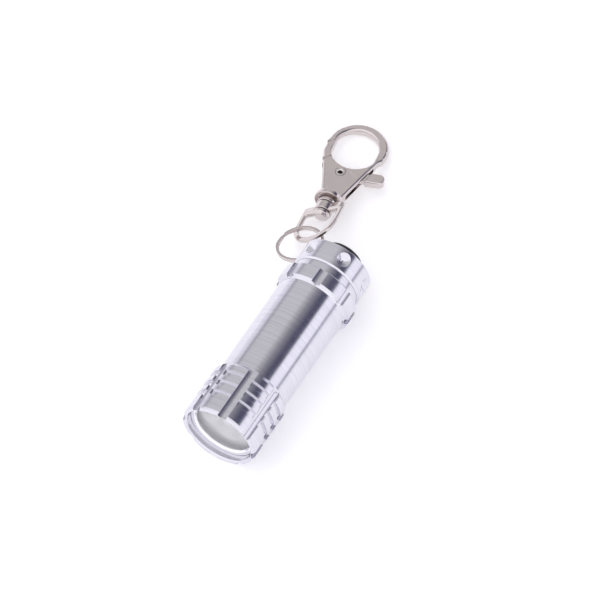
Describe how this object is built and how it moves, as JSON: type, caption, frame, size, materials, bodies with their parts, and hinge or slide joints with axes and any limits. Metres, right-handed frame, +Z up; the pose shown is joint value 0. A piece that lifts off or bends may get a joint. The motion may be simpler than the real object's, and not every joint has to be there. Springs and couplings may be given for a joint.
{
  "type": "keychain flashlight",
  "caption": "Turned aluminium mini torch with rubber tail button, drilled tail cap, split ring, swivel eye and lobster clasp",
  "frame": {"origin": "on the torch axis, in the plane of the front rim, where the beam leaves", "axes": "+Y along the torch axis from the front rim to the tail, the beam leaves along -Y; +Z up from the table the torch lies on; +X to the right seen from the tail"},
  "size_m": [0.0323, 0.0988, 0.02],
  "materials": {
    "turned_aluminium": "satin",
    "polished_aluminium": "polished",
    "clear_lens": "clear",
    "black_rubber": "matt",
    "plated_reflector": "satin",
    "board_green": "matt",
    "spring_steel": "bright",
    "black_plastic": "matt",
    "brass_contact": "plain",
    "nickel_plate": "plated",
    "led_epoxy": "clear",
    "cell_steel": "plain"
  },
  "bodies": {
    "torch": {"body_tube": "turned_aluminium", "front_bezel": "polished_aluminium", "lens": "clear_lens", "lens_seal": "black_rubber", "led_holder": "plated_reflector", "led_1": "led_epoxy", "led_2": "led_epoxy", "led_3": "led_epoxy", "led_4": "led_epoxy", "led_5": "led_epoxy", "led_board": "board_green", "front_spring": "spring_steel", "battery_sleeve": "black_plastic", "front_contact": "brass_contact", "cell_1": "cell_steel", "cell_2": "cell_steel", "cell_3": "cell_steel", "cell_4": "cell_steel", "cap_seal": "black_rubber"},
    "switch_module": {"switch_housing": "black_plastic", "switch_terminal": "brass_contact", "tail_spring": "spring_steel", "plunger_spring": "spring_steel"},
    "cap": {"tail_cap": "turned_aluminium"},
    "button": {"rubber_button": "black_rubber", "switch_plunger": "black_plastic", "contact_plate": "brass_contact"},
    "ring": {"split_ring": "nickel_plate"},
    "eye": {"swivel_eye": "nickel_plate"},
    "clasp": {"swivel_post": "nickel_plate", "clasp_body": "nickel_plate", "gate_rivet": "nickel_plate", "gate_spring": "spring_steel"},
    "gate": {"gate_lever": "nickel_plate"}
  },
  "joints": [
    {"name": "cap_advance", "type": "slide", "parent": "torch", "child": "switch_module", "axis": [0, 1, 0], "range_m": [0, 0.00226]},
    {"name": "cap_turn", "type": "hinge", "parent": "switch_module", "child": "cap", "pos_m": [0, 0.0536, 0], "axis": [0, 1, 0], "range_deg": [0, 1080]},
    {"name": "button_press", "type": "slide", "parent": "switch_module", "child": "button", "axis": [0, -1, 0], "range_m": [0, 0.0012], "stiffness_N_per_m": 800, "springref_m": -0.0008, "deforming": ["plunger_spring"]},
    {"name": "ring_swing", "type": "hinge", "parent": "cap", "child": "ring", "pos_m": [-0.00754, 0.05549, -0.00126], "axis": [0.5657, 0.8192, 0.0947], "range_deg": [-60, 75]},
    {"name": "eye_slide", "type": "hinge", "parent": "ring", "child": "eye", "pos_m": [-0.01182, 0.05864, -0.00302], "axis": [-0.3109, 0.1055, 0.9446], "range_deg": [-25, 120]},
    {"name": "clasp_swivel", "type": "hinge", "parent": "eye", "child": "clasp", "pos_m": [-0.01234, 0.07084, -0.00434], "axis": [-0.1478, 0.9771, -0.153], "continuous": true},
    {"name": "gate_open", "type": "hinge", "parent": "clasp", "child": "gate", "pos_m": [-0.01455, 0.08215, -0.00612], "axis": [0.0229, -0.1513, -0.9882], "range_deg": [0, 28], "stiffness_Nm_per_rad": 0.002, "springref_deg": -14.32, "deforming": ["gate_spring"]}
  ],
  "couplings": [
    {"joint": "cap_advance", "follows": "cap_turn", "m_per_rad": 0.00011937}
  ]
}
